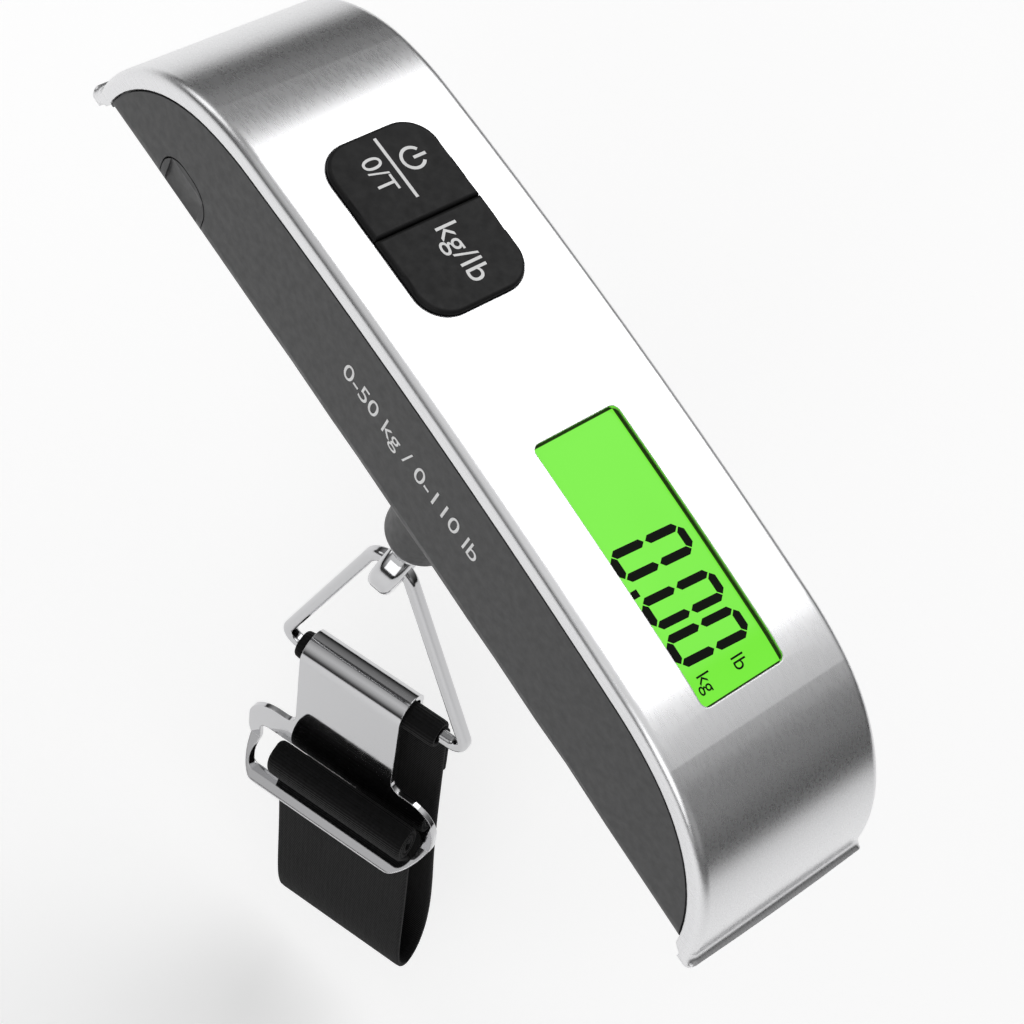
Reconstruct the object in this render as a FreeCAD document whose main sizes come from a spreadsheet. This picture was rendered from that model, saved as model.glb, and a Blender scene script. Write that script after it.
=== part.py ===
"""Digital luggage scale with a hook strap, in millimetres.

Frame: X runs along the body, Y across it and +Z out of the display face.  The origin is
under the middle of the body, level with the tips of the metal cover.
The ring, the hook plate and the webbing are drawn upright about the ring's pivot, with
the strap hanging along -Z and its width along X, and are then turned to hang as they
do when the body is held by its upper end.
"""
import FreeCAD, Part
import math
import os
import re
import Sketcher

DIMENSIONS = {
    # side view of the metal cover: five tangent arcs and a small flared lip at each end
    "crown_z": 27.9, "arch_radius": 683, "bend_radius": 45, "end_radius": 30,
    "arch_turn": 3.7, "bend_turn": 16.7, "end_turn": 79,
    "lip_radius": 1.8, "lip_turn": 6, "lip_reach": 78.6, "lip_floor": -0.8,
    "half_width": 17, "cover_skin": 0.8, "cover_drop": 2.85, "cover_edge": 1.5,
    "tip_reach": 76.4, "tip_bow": 700, "tip_corner": 1.2, "cover_toe": 73.6,
    # housing tub
    "seam": 0.35, "housing_toe": 73.2, "wall": 1.8, "floor_thick": 2.6,
    "under_radius": 2665, "under_crown": 1, "under_round": 4, "cavity_half": 66,
    "boss_x": 63, "boss_y": 11.8, "boss_radius": 2.6, "boss_split": 8,
    "case_screw_radius": 0.95, "case_head_radius": 1.9, "case_head_seat": 3.6,
    # inner frame
    "frame_gap": 0.1, "frame_plate": 1.2, "frame_rim": 1.9, "frame_floor": 0.8,
    # keys
    "key_left": -41.1, "key_right": -11.8, "key_half_width": 9.05, "key_corner": 5,
    "key_split": -26.05, "key_slit": 0.1, "key_gap": 0.15, "key_rise": 0.9,
    "key_round": 0.55, "flange_reach": 1.1, "flange_bottom": 1.6, "flange_air": 0.3,
    "power_x": -33.6, "unit_x": -19, "plunger_radius": 2.2, "plunger_low": 24.5,
    "plunger_seat": 25.25, "spigot_radius": 1, "spigot_top": 26.5,
    # display
    "window_left": 8.9, "window_right": 49.9, "window_half_width": 7.45,
    "window_corner": 1.2, "film_thick": 0.3, "film_reach": 1, "glass_reach": 1.6,
    "glass_tilt": 3.2, "glass_mid_z": 25.27, "glass_thick": 1.8, "light_thick": 1.6,
    "glass_half_width": 9.4, "stack_gap": 0.05, "gasket_band": 1.3,
    # circuit board
    "board_left": -48, "board_right": 54, "board_half_width": 12.4,
    "board_bottom": 19, "board_thick": 1.2, "board_corner": 1.5,
    "switch_size": 6, "switch_body": 3.1, "switch_stem": 0.6, "switch_radius": 1.6,
    "board_screw_radius": 0.8, "board_head_radius": 1.5, "board_head": 0.9,
    # load cell
    "plate_bottom": 3.6, "plate_thick": 1.5, "beam_height": 9, "beam_half_width": 6.35,
    "beam_left": -6.4, "beam_right": 52, "gauge_near": 14, "gauge_far": 24,
    "gauge_hole": 3.2, "cell_screw_near": 38, "cell_screw_far": 46,
    "cell_screw_radius": 1.95, "cell_head_radius": 3.4, "cell_head": 2.2,
    # neck, bushes and eye bolt
    "spigot_outer": 6, "neck_base": 10.8, "neck_top": 7, "neck_waist": 5.9,
    "neck_tip": 3.6, "neck_end": -29, "bush_outer": 2.7, "bush_inner": 2.05,
    "shank_radius": 2, "shank_top": 18.5, "eye_z": -36, "eye_radius": 4.4,
    "eye_thick": 3, "eye_width": 4.6, "eye_round": 1.45, "collar_radius": 3.1, "washer_radius": 4, "washer_thick": 0.8,
    "washer_float": 0.05, "nut_flats": 7, "nut_height": 3.2,
    # hanging parts, about the ring's pivot
    "pivot_z": -41.5, "yaw": 16.9, "rock": 15.6,
    "ring_wire": 2.2, "ring_edge": 0.7, "ring_apex": 4.5, "ring_lean": 22.3,
    "ring_depth": 36.3, "ring_corner": 2.6,
    "hook_shift": -3, "hook_half_width": 10.6, "hook_thick": 1, "hook_mid": 3.2,
    "hook_raise": 0.6, "hook_lip": 1.6, "hook_top": 10, "shoulder_round": 2.5,
    "ear_round": 6.5, "foot_round": 7.5, "ear_half_width": 20.9, "ear_top": 21.3,
    "ear_bend": 34.2, "hook_low": 38.4, "hook_step": 6.2,
    "slot_top": 28.7, "slot_low": 37.2, "slot_half_width": 18.3, "slot_round": 2,
    "web_half_width": 14.8, "web_thick": 1.05, "web_eye": 1.6, "web_gap": 7.1,
    "web_low": 86.2, "web_shift": -0.9, "web_sway": 0.03, "web_stitch_top": 3, "web_stitch_low": 16,
    "stopper_half_width": 15.2, "stopper_top": 24.7, "stopper_low": 33.2,
    "stopper_back": 4, "stopper_front": 10.2, "stopper_round": 2.6,
    # battery bay
    "bay_x": -53.3, "door_half_length": 11, "door_far": 11.5, "door_top": 1.9,
    "door_gap": 0.2, "tongue_reach": 0.9, "tongue_low": 1.15, "tab_half_length": 5.3,
    "tab_top": 9.8, "tab_thick": 1.5, "cell_radius": 10, "cell_low": 2.4,
    "cell_thick": 3.2, "holder_wall": 1.2, "holder_low": 3.3, "holder_top": 8,
    "contact_thick": 0.2,
}

doc = FreeCAD.newDocument("LuggageScale")
sheet = doc.addObject("Spreadsheet::Sheet", "Dims")
for row, (alias, value) in enumerate(DIMENSIONS.items(), start=1):
    sheet.set("A%d" % row, alias)
    sheet.set("B%d" % row, str(value))
    sheet.setAlias("B%d" % row, alias)
doc.recompute()

LEVEL, UPRIGHT, SIDEWAYS = "XY_Plane", "XZ_Plane", "YZ_Plane"
SKETCH_TURNS = {
    LEVEL: FreeCAD.Rotation(),
    UPRIGHT: FreeCAD.Rotation(FreeCAD.Vector(1, 0, 0), 90),
    SIDEWAYS: FreeCAD.Rotation(FreeCAD.Vector(1, 1, 1), 120),
}
TO_Y = FreeCAD.Rotation(FreeCAD.Vector(1, 0, 0), -90)
TO_X = FreeCAD.Rotation(FreeCAD.Vector(0, 1, 0), 90)
nodes = {}


# ---------------------------------------------------------------- sheet and expressions
def ref(expression):
    """Writes the sheet aliases in an expression as references to its cells."""
    def cell(match):
        word = match.group()
        return "Dims." + word if word in DIMENSIONS else word
    return re.sub(r"[a-z_]+", cell, str(expression))


def num(expression):
    """Value of an expression in sheet aliases."""
    return float(sheet.evalExpression(ref(expression)))


def bind(item, prop, expression):
    item.setExpression(prop, ref(expression))


def node(name, item):
    """Registers a finished sub-part under its own name."""
    item.Label = name
    nodes[name] = item
    return item


# ---------------------------------------------------------------- primitives and booleans
def block(name, x, y, z):
    """Box given by the low and high expression of each axis."""
    piece = doc.addObject("Part::Box", name)
    sizes = ("Length", "Width", "Height")
    for size, axis, (low, high) in zip(sizes, "xyz", (x, y, z)):
        bind(piece, size, "(%s) - (%s)" % (high, low))
        bind(piece, "Placement.Base." + axis, low)
    return piece


def rod(name, radius, z, x=0, y=0):
    """Upright cylinder from the low to the high expression of z."""
    piece = doc.addObject("Part::Cylinder", name)
    bind(piece, "Radius", radius)
    bind(piece, "Height", "(%s) - (%s)" % (z[1], z[0]))
    for axis, value in zip("xyz", (x, y, z[0])):
        bind(piece, "Placement.Base." + axis, value)
    return piece


def cross_rod(name, radius, x, y, z):
    """Cylinder along Y from the low to the high expression of y."""
    piece = doc.addObject("Part::Cylinder", name)
    piece.Placement.Rotation = TO_Y
    bind(piece, "Radius", radius)
    bind(piece, "Height", "(%s) - (%s)" % (y[1], y[0]))
    for axis, value in zip("xyz", (x, y[0], z)):
        bind(piece, "Placement.Base." + axis, value)
    return piece


def fuse(name, *items):
    piece = doc.addObject("Part::MultiFuse", name)
    piece.Shapes = list(items)
    return piece


def common(name, *items):
    piece = doc.addObject("Part::MultiCommon", name)
    piece.Shapes = list(items)
    return piece


def cut(name, base, *tools):
    piece = doc.addObject("Part::Cut", name)
    piece.Base = base
    piece.Tool = tools[0] if len(tools) == 1 else fuse(name + "_tools", *tools)
    return piece


def group(name, *items):
    piece = doc.addObject("Part::Compound", name)
    piece.Links = list(items)
    return piece


def round_edges(name, base, radius_of):
    """Rounds the edges of base for which radius_of(edge) gives a radius."""
    doc.recompute()
    picked = []
    for number, edge in enumerate(base.Shape.Edges, start=1):
        radius = radius_of(edge)
        if radius:
            picked.append((number, radius, radius))
    if not picked:
        raise RuntimeError(name + ": no edge to round")
    piece = doc.addObject("Part::Fillet", name)
    piece.Base = base
    piece.Edges = picked
    return piece


# ---------------------------------------------------------------- sketches
def new_sketch(name, plane=LEVEL, body=None):
    """Sketch on a plane through the origin, attached to the body's own plane if it has one."""
    if body:
        sketch = body.newObject("Sketcher::SketchObject", name)
        support = [item for item in body.Origin.OriginFeatures if item.Role == plane][0]
        sketch.AttachmentSupport = (support, [""])
        sketch.MapMode = "FlatFace"
    else:
        sketch = doc.addObject("Sketcher::SketchObject", name)
        sketch.Placement.Rotation = SKETCH_TURNS[plane]
    return sketch


def tie(sketch, kind, *places):
    sketch.addConstraint(Sketcher.Constraint(kind, *places))


def datum(sketch, kind, places, expression):
    """Adds a dimension whose value follows the sheet."""
    constraint = Sketcher.Constraint(kind, *places, num(expression))
    index = sketch.addConstraint(constraint)
    sketch.setExpression("Constraints[%d]" % index, ref(expression))


def place_point(sketch, curve, end, x, y):
    """Fixes a point of a curve at the expressions x and y."""
    for kind, value, axis in (("DistanceX", x, -2), ("DistanceY", y, -1)):
        if abs(num(value)) < 1e-9:
            tie(sketch, "PointOnObject", curve, end, axis)
        else:
            datum(sketch, kind, (-1, 1, curve, end), value)


def polygon(sketch, points):
    """Closed outline through points given as pairs of expressions."""
    spots = [FreeCAD.Vector(num(x), num(y), 0) for x, y in points]
    count = len(spots)
    lines = []
    for index, spot in enumerate(spots):
        line = Part.LineSegment(spot, spots[(index + 1) % count])
        lines.append(sketch.addGeometry(line, False))
    for index, line in enumerate(lines):
        tie(sketch, "Coincident", line, 2, lines[(index + 1) % count], 1)
        place_point(sketch, line, 1, *points[index])
    return sketch


def arc_about(centre, radius, low, high):
    """Arc between two angles in degrees, anticlockwise."""
    circle = Part.Circle(centre, FreeCAD.Vector(0, 0, 1), radius)
    return Part.ArcOfCircle(circle, math.radians(low), math.radians(high))


def rounded_rectangle(sketch, x, y, corner):
    """Rectangle with round corners, given by low and high expressions."""
    left, right, low, high = [num(value) for value in (*x, *y)]
    radius = num(corner)
    corners = ((right, low, -90), (right, high, 0), (left, high, 90), (left, low, 180))
    arcs = []
    for corner_x, corner_y, start in corners:
        inward_x = radius if corner_x == left else -radius
        inward_y = radius if corner_y == low else -radius
        centre = FreeCAD.Vector(corner_x + inward_x, corner_y + inward_y, 0)
        arc = arc_about(centre, radius, start, start + 90)
        arcs.append(sketch.addGeometry(arc, False))
    for index, arc in enumerate(arcs):
        following = arcs[(index + 1) % 4]
        start = sketch.getPoint(arc, 2)
        end = sketch.getPoint(following, 1)
        line = sketch.addGeometry(Part.LineSegment(start, end), False)
        tie(sketch, "Tangent", arc, 2, line, 1)
        tie(sketch, "Tangent", line, 2, following, 1)
        tie(sketch, "Vertical" if index % 2 == 0 else "Horizontal", line)
        if index:
            tie(sketch, "Equal", arcs[0], arc)
    datum(sketch, "Radius", (arcs[0],), corner)
    datum(sketch, "DistanceX", (-1, 1, arcs[0], 2), x[1])
    datum(sketch, "DistanceX", (-1, 1, arcs[2], 2), x[0])
    datum(sketch, "DistanceY", (-1, 1, arcs[1], 2), y[1])
    datum(sketch, "DistanceY", (-1, 1, arcs[3], 2), y[0])
    return sketch


def extrude(name, sketch, length, symmetric=False):
    piece = doc.addObject("Part::Extrusion", name)
    piece.Base = sketch
    piece.DirMode = "Normal"
    piece.Solid = True
    piece.Symmetric = symmetric
    bind(piece, "LengthFwd", length)
    return piece


def plate(name, x, y, corner, z):
    """Flat plate with round corners between two levels."""
    sketch = rounded_rectangle(new_sketch(name + "_outline"), x, y, corner)
    bind(sketch, "Placement.Base.z", z[0])
    return extrude(name, sketch, "(%s) - (%s)" % (z[1], z[0]))


def turned(name, points):
    """Solid of revolution about Z from an outline of radii and heights."""
    sketch = polygon(new_sketch(name + "_outline", UPRIGHT), points)
    piece = doc.addObject("Part::Revolution", name)
    piece.Source = sketch
    piece.Axis = (0, 0, 1)
    piece.Base = (0, 0, 0)
    piece.Angle = 360
    piece.Solid = True
    return piece


# ---------------------------------------------------------------- the arch
BEND_X = "(arch_radius - bend_radius) * sin(arch_turn)"
END_X = BEND_X + " + (bend_radius - end_radius) * sin(bend_turn)"


def arch(name, shift, floor, half_width, toe=None, lip=False):
    """Solid under the arch, offset outwards by shift, down to floor.

    toe is where the slope at the foot of each end meets the level of the tips.
    lip adds the flared end of the metal cover.
    """
    sketch = new_sketch(name + "_side", UPRIGHT)
    radii = ["%s + (%s)" % (word, shift) for word in ("arch_radius", "bend_radius", "end_radius")]
    turns = [num(word) for word in ("arch_turn", "bend_turn", "end_turn")]
    bottom = num(floor)
    crown = FreeCAD.Vector(0, num("crown_z - arch_radius"), 0)
    middle = arc_about(crown, num(radii[0]), 90 - turns[0], 90 + turns[0])
    middle = sketch.addGeometry(middle, False)
    tie(sketch, "PointOnObject", middle, 3, -2)
    datum(sketch, "DistanceY", (-1, 1, middle, 3), "crown_z - arch_radius")
    datum(sketch, "Radius", (middle,), radii[0])
    feet = []
    for side in (1, -1):
        near, far = (2, 1) if side > 0 else (1, 2)
        centre = FreeCAD.Vector(crown)
        previous = middle
        joint = far
        steps = (("arch_radius - bend_radius", BEND_X), ("bend_radius - end_radius", END_X))
        for step, (shrink, centre_x) in enumerate(steps):
            turn = math.radians(turns[step])
            centre += FreeCAD.Vector(side * math.sin(turn), math.cos(turn), 0) * num(shrink)
            angles = sorted((90 - side * turns[step], 90 - side * turns[step + 1]))
            curve = arc_about(centre, num(radii[step + 1]), *angles)
            curve = sketch.addGeometry(curve, False)
            tie(sketch, "Tangent", previous, joint, curve, near)
            datum(sketch, "Radius", (curve,), radii[step + 1])
            datum(sketch, "DistanceX", (-1, 1, curve, 3), "%d * (%s)" % (side, centre_x))
            previous = curve
            joint = far
        end_x = "%d * (%s + (%s) * sin(end_turn))" % (side, END_X, radii[2])
        datum(sketch, "DistanceX", (-1, 1, previous, far), end_x)
        foot = sketch.getPoint(previous, far)
        if lip:
            turn = math.radians(turns[2])
            outward = FreeCAD.Vector(side * math.sin(turn), math.cos(turn), 0)
            centre = foot + outward * num("lip_radius")
            low = 270 - side * turns[2]
            high = 270 - side * num("lip_turn")
            curve = arc_about(centre, num("lip_radius"), *sorted((low, high)))
            curve = sketch.addGeometry(curve, False)
            tie(sketch, "Tangent", previous, far, curve, far)
            datum(sketch, "Radius", (curve,), "lip_radius")
            start = sketch.getPoint(curve, near)
            run = num("lip_reach") - abs(start.x)
            drop = run * math.tan(math.radians(num("lip_turn")))
            tip = FreeCAD.Vector(side * num("lip_reach"), start.y - drop, 0)
            line = sketch.addGeometry(Part.LineSegment(start, tip), False)
            tie(sketch, "Tangent", curve, near, line, 1)
            datum(sketch, "DistanceX", (-1, 1, line, 2), "%d * lip_reach" % side)
            datum(sketch, "DistanceY", (-1, 1, line, 2), "%r" % tip.y)
            previous, joint, foot = line, 2, tip
        elif toe:
            tip = FreeCAD.Vector(side * num(toe), 0, 0)
            line = sketch.addGeometry(Part.LineSegment(foot, tip), False)
            tie(sketch, "Coincident", previous, far, line, 1)
            place_point(sketch, line, 2, "%d * %s" % (side, toe), 0)
            previous, joint, foot = line, 2, tip
        down = Part.LineSegment(foot, FreeCAD.Vector(foot.x, bottom, 0))
        down = sketch.addGeometry(down, False)
        tie(sketch, "Coincident", previous, joint, down, 1)
        tie(sketch, "Vertical", down)
        datum(sketch, "DistanceY", (-1, 1, down, 2), floor)
        feet.append(down)
    ends = [sketch.getPoint(foot, 2) for foot in feet]
    base = sketch.addGeometry(Part.LineSegment(ends[0], ends[1]), False)
    tie(sketch, "Coincident", feet[0], 2, base, 1)
    tie(sketch, "Coincident", feet[1], 2, base, 2)
    return extrude(name, sketch, "2 * (%s)" % half_width, symmetric=True)


# ---------------------------------------------------------------- metal cover
def end_bow(side):
    """Bowed plan outline of both ends of the cover."""
    middle_x = "tip_reach - tip_bow"
    centre = FreeCAD.Vector(side * num(middle_x), 0, 0)
    half = math.degrees(math.asin(num("half_width / tip_bow")))
    facing = 0 if side > 0 else 180
    return arc_about(centre, num("tip_bow"), facing - half, facing + half)


def cover_plan():
    sketch = new_sketch("cover_plan")
    arcs = []
    for side in (1, -1):
        arc = sketch.addGeometry(end_bow(side), False)
        datum(sketch, "Radius", (arc,), "tip_bow")
        place_point(sketch, arc, 3, "%d * (tip_reach - tip_bow)" % side, 0)
        arcs.append(arc)
    for index, arc in enumerate(arcs):
        other = arcs[1 - index]
        line = Part.LineSegment(sketch.getPoint(arc, 2), sketch.getPoint(other, 1))
        line = sketch.addGeometry(line, False)
        tie(sketch, "Coincident", arc, 2, line, 1)
        tie(sketch, "Coincident", line, 2, other, 1)
        tie(sketch, "Horizontal", line)
        height = "half_width" if index == 0 else "-half_width"
        datum(sketch, "DistanceY", (-1, 1, line, 1), height)
    bind(sketch, "Placement.Base.z", "lip_floor - 5")
    prism = extrude("cover_plan_prism", sketch, "crown_z + 20")
    corner = num("tip_corner")
    return round_edges("cover_plan_round", prism, lambda edge: corner if is_upright(edge) else 0)


def is_upright(edge):
    first, last = edge.Vertexes[0].Point, edge.Vertexes[-1].Point
    return abs(first.x - last.x) < 1e-6 and abs(first.y - last.y) < 1e-6 and first.z != last.z


def opening(name, left, right, half, corner, grow):
    """Upright cutter of a window in the cover, grown all round."""
    reach = "(%s)" % grow
    return plate(
        name, (left + " - " + reach, right + " + " + reach),
        ("-%s - %s" % (half, reach), half + " + " + reach), corner + " + " + reach,
        ("board_bottom", "crown_z + 5"))


def key_opening(name, grow):
    return opening(name, "key_left", "key_right", "key_half_width", "key_corner", grow)


def window_opening(name, grow):
    return opening(name, "window_left", "window_right", "window_half_width", "window_corner", grow)


def make_top_cover():
    outer = arch("cover_outer", "0", "lip_floor - 8", "half_width", lip=True)
    edge_radius = num("cover_edge")
    half_width = num("half_width")
    floor = num("lip_floor")

    def along_side(edge):
        box = edge.BoundBox
        on_side = box.YLength < 1e-6 and abs(abs(box.YMin) - half_width) < 1e-6
        upper = box.ZMin > floor and box.XLength > 0.5
        return edge_radius if on_side and upper else 0

    shaped = round_edges("cover_edges", outer, along_side)
    trimmed = common("cover_blank", shaped, cover_plan())
    inner = arch("cover_inner", "-cover_skin", "lip_floor - 1", "half_width - cover_skin")
    lower = arch("cover_lower", "-cover_drop", "lip_floor - 1", "half_width + 1", toe="cover_toe")
    under = block("cover_under", ("-tip_reach - 5", "tip_reach + 5"),
                  ("-half_width - 5", "half_width + 5"), ("lip_floor - 12", "lip_floor"))
    keys = key_opening("cover_key_window", "key_gap")
    display = window_opening("cover_display_window", "0")
    return node("top_cover", cut("cover_shell", trimmed, inner, lower, under, keys, display))


# ---------------------------------------------------------------- housing tub
def tub_section(name, half, low, corner):
    """Bar with a rounded underside that follows the long arc of the underside."""
    sketch = new_sketch(name + "_section", SIDEWAYS)
    rounded_rectangle(sketch, ("-(%s)" % half, half), (low, "crown_z + 30"), corner)
    piece = doc.addObject("Part::Revolution", name)
    piece.Source = sketch
    piece.Axis = (0, 1, 0)
    piece.Base = (0, 0, num("under_crown - under_radius"))
    piece.Angle = 4
    piece.Symmetric = True
    piece.Solid = True
    return piece


def housing_block(name, toe="housing_toe"):
    """Outer shape of the tub, without its cavity."""
    under_cover = arch(name + "_side", "-cover_drop - seam", "-2", "half_width", toe=toe)
    section = tub_section(name + "_bar", "half_width", "under_crown", "under_round")
    return common(name, under_cover, section)


def at_corners(maker):
    """Calls maker for each of the four case screws."""
    return [maker(side_x, side_y) for side_x in (-1, 1) for side_y in (-1, 1)]


def door_cutter(name, gap):
    """Space of the battery door, grown by gap: plate, tongues and thumb tab."""
    left = "bay_x - door_half_length - %s" % gap
    right = "bay_x + door_half_length + %s" % gap
    far = "door_far + %s" % gap
    slab = block(name + "_plate", (left, right), ("-half_width - 1", far),
                 ("-2", "door_top + %s" % gap))
    near = "-half_width + under_round" if gap == "0" else "-half_width - 1"
    tongues = block(name + "_tongues", (left + " - tongue_reach", right + " + tongue_reach"),
                    (near, far), ("tongue_low - %s" % gap, "door_top + %s" % gap))
    tab = tab_prism(name + "_tab", gap)
    return fuse(name, slab, tongues, tab)


def tab_prism(name, gap):
    """Round-topped thumb tab on the near side face."""
    half = "tab_half_length + %s" % gap
    sketch = new_sketch(name + "_outline", UPRIGHT)
    rounded_rectangle(sketch, ("bay_x - (%s)" % half, "bay_x + (%s)" % half),
                      ("-10", "tab_top + %s" % gap), "tab_half_length - 0.8")
    piece = extrude(name, sketch, "tab_thick + %s + 2" % gap)
    bind(piece, "Placement.Base.y", "-half_width + tab_thick + %s" % gap)
    return piece


def make_lower_housing():
    block_outer = housing_block("housing_block")
    cavity = common(
        "housing_cavity",
        tub_section("cavity_bar", "half_width - wall", "under_crown + floor_thick", "2.2"),
        block("cavity_ends", ("-cavity_half", "cavity_half"), ("-half_width", "half_width"),
              ("0", "crown_z + 5")))
    shell = cut("housing_tub", block_outer, cavity)
    bosses = at_corners(lambda sx, sy: rod(
        "tub_boss", "boss_radius", ("under_crown + 1", "boss_split"),
        "%d * boss_x" % sx, "%d * boss_y" % sy))
    solid = fuse("housing_solid", shell, *bosses)
    drilled = at_corners(lambda sx, sy: fuse(
        "tub_screw_hole",
        rod("tub_shank_hole", "case_screw_radius + 0.1", ("-2", "boss_split + 1"),
            "%d * boss_x" % sx, "%d * boss_y" % sy),
        rod("tub_head_hole", "case_head_radius + 0.15", ("-2", "case_head_seat"),
            "%d * boss_x" % sx, "%d * boss_y" % sy)))
    neck_hole = rod("neck_hole", "spigot_outer", ("-2", "under_crown + floor_thick + 1"))
    neck_pilots = [rod("neck_pilot", "0.9", ("-2", "5"), x, y) for x, y in neck_screw_spots()]
    plate_pilots = [rod("plate_pilot", "1.1", ("1.8", "5"), x, y) for x, y in plate_screw_spots()]
    cell_hole = rod("cell_hole", "cell_radius + 0.4", ("0", "cell_low + cell_thick"), "bay_x")
    tools = drilled + [neck_hole] + neck_pilots + plate_pilots
    tools += [cell_hole, door_cutter("door_space", "door_gap")]
    return node("lower_housing", cut("housing_final", solid, *tools))


def neck_screw_spots():
    """Three screws round the neck's spigot."""
    return [("8.3 * cos(%d)" % turn, "8.3 * sin(%d)" % turn) for turn in (90, 210, 330)]


def plate_screw_spots():
    """Four screws at the corners of the load cell's plate."""
    return [(x, y) for x in ("35.3", "48.7") for y in ("-8.7", "8.7")]


def make_housing_screws():
    screws = []
    for sx in (-1, 1):
        for sy in (-1, 1):
            x, y = "%d * boss_x" % sx, "%d * boss_y" % sy
            head = rod("case_head", "case_head_radius", ("case_head_seat - 1.2", "case_head_seat"), x, y)
            shank = rod("case_shank", "case_screw_radius", ("case_head_seat", "boss_split + 5"), x, y)
            screws.append(with_cross("case_screw", fuse("case_body", head, shank), x, y,
                                     ("case_head_seat - 1.3", "case_head_seat - 0.6")))
    return node("housing_screws", group("case_screws", *screws))


def with_cross(name, screw, x, y, z, reach=1):
    """Cuts a cross recess into a screw head."""
    arms = []
    for half_x, half_y in ((reach, 0.22), (0.22, reach)):
        arms.append(block(name + "_slot", ("%s - %s" % (x, half_x), "%s + %s" % (x, half_x)),
                          ("%s - %s" % (y, half_y), "%s + %s" % (y, half_y)), z))
    return cut(name, screw, *arms)


# ---------------------------------------------------------------- inner frame
def make_inner_frame():
    """Plastic carrier under the cover: a curved plate with a rim that stands on the tub."""
    skin = "-cover_skin - frame_gap"
    side = "half_width - cover_skin - frame_gap"
    outer = arch("frame_outer", skin, "frame_floor", side)
    below = arch("frame_below", "-cover_drop - seam", "frame_floor - 1", "half_width")
    pocket = arch("frame_pocket", skin + " - frame_plate", "frame_floor - 1",
                  side + " - frame_rim")
    rim = cut("frame_rim_band", outer, below)
    shell = cut("frame_shell", rim, pocket)
    inside = arch("frame_boss_limit", skin + " - 0.4", "boss_split", side)
    case_bosses = at_corners(lambda sx, sy: common(
        "frame_boss", inside, rod("frame_boss_rod", "boss_radius", ("boss_split", "crown_z"),
                                  "%d * boss_x" % sx, "%d * boss_y" % sy)))
    above_board = arch("frame_post_limit", skin + " - 0.4", "board_bottom + board_thick", side)
    posts = [common("frame_post", above_board, rod(
        "frame_post_rod", "board_head_radius", ("board_bottom", "crown_z"), x, y))
        for x, y in board_screw_spots()]
    solid = fuse("frame_solid", shell, *case_bosses, *posts)
    pilots = at_corners(lambda sx, sy: rod(
        "frame_pilot", "case_screw_radius", ("boss_split - 1", "boss_split + 5"),
        "%d * boss_x" % sx, "%d * boss_y" % sy))
    pilots += [rod("post_pilot", "board_screw_radius", ("board_bottom", "board_bottom + 4.2"), x, y)
               for x, y in board_screw_spots()]
    keys = key_opening("frame_key_window", "flange_reach + flange_air")
    display = window_opening("frame_display_window", "glass_reach + 1.3")
    return node("inner_frame", cut("frame_final", solid, keys, display, *pilots))


def board_screw_spots():
    return [(x, y) for x in ("-46", "-6") for y in ("-10.6", "10.6")]


# ---------------------------------------------------------------- keys
def key_half(name, side):
    """One key cap: the visible pad, a flange under the cover and the plunger's socket."""
    pad = common(name + "_pad", key_opening(name + "_outline", "0"),
                 cut(name + "_pad_band", arch(name + "_pad_top", "key_rise", "20", "half_width"),
                     arch(name + "_pad_low", "-flange_bottom", "19", "half_width + 1")))
    flange = common(name + "_flange", key_opening(name + "_flange_outline", "flange_reach"),
                    cut(name + "_flange_band",
                        arch(name + "_flange_top", "-cover_skin - flange_air / 3", "20", "half_width"),
                        arch(name + "_flange_low", "-flange_bottom", "19", "half_width + 1")))
    whole = fuse(name + "_whole", pad, flange)
    limits = [("key_left - 5", "key_split - key_slit"), ("key_split + key_slit", "key_right + 5")]
    half = common(name + "_half", whole, block(
        name + "_side", limits[side], ("-half_width", "half_width"), ("10", "40")))
    x = ("power_x", "unit_x")[side]
    socket = rod(name + "_socket", "spigot_radius", ("20", "spigot_top"), x)
    bored = cut(name + "_bored", half, socket)
    radius = num("key_round")
    lift = num("key_rise")

    def top_edge(edge):
        box = edge.BoundBox
        middle = edge.CenterOfMass
        surface = cover_height(middle.x) + lift
        flat = not is_upright(edge) and box.ZLength < 2.2
        return radius if flat and middle.z > surface - 0.35 else 0

    return round_edges(name + "_soft", bored, top_edge)


def cover_height(x):
    """Height of the cover's outer face within its central arc."""
    radius = num("arch_radius")
    return num("crown_z") - radius + math.sqrt(radius ** 2 - x ** 2)


def make_keys():
    for name, side, x in (("power_key", 0, "power_x"), ("unit_key", 1, "unit_x")):
        node(name + "_cap", key_half(name, side))
        foot = rod(name + "_foot", "plunger_radius", ("plunger_low", "plunger_seat"), x)
        spigot = rod(name + "_spigot", "spigot_radius", ("plunger_seat", "spigot_top"), x)
        node(name + "_plunger", fuse(name + "_post", foot, spigot))


# ---------------------------------------------------------------- display
def tilted(name, x, half, z):
    """Box laid on the tilted display, with x and z measured from its middle."""
    piece = doc.addObject("Part::Box", name)
    bind(piece, "Length", "(%s) - (%s)" % (x[1], x[0]))
    bind(piece, "Width", "2 * (%s)" % half)
    bind(piece, "Height", "(%s) - (%s)" % (z[1], z[0]))
    slope = num("glass_tilt")
    piece.Placement.Rotation = FreeCAD.Rotation(FreeCAD.Vector(0, 1, 0), slope)
    middle = "(window_left + window_right) / 2"
    tilt = "glass_tilt"
    bind(piece, "Placement.Base.x", "%s + (%s) * cos(%s) + (%s) * sin(%s)" % (middle, x[0], tilt, z[0], tilt))
    bind(piece, "Placement.Base.y", "-(%s)" % half)
    bind(piece, "Placement.Base.z", "glass_mid_z - (%s) * sin(%s) + (%s) * cos(%s)" % (x[0], tilt, z[0], tilt))
    return piece


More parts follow.
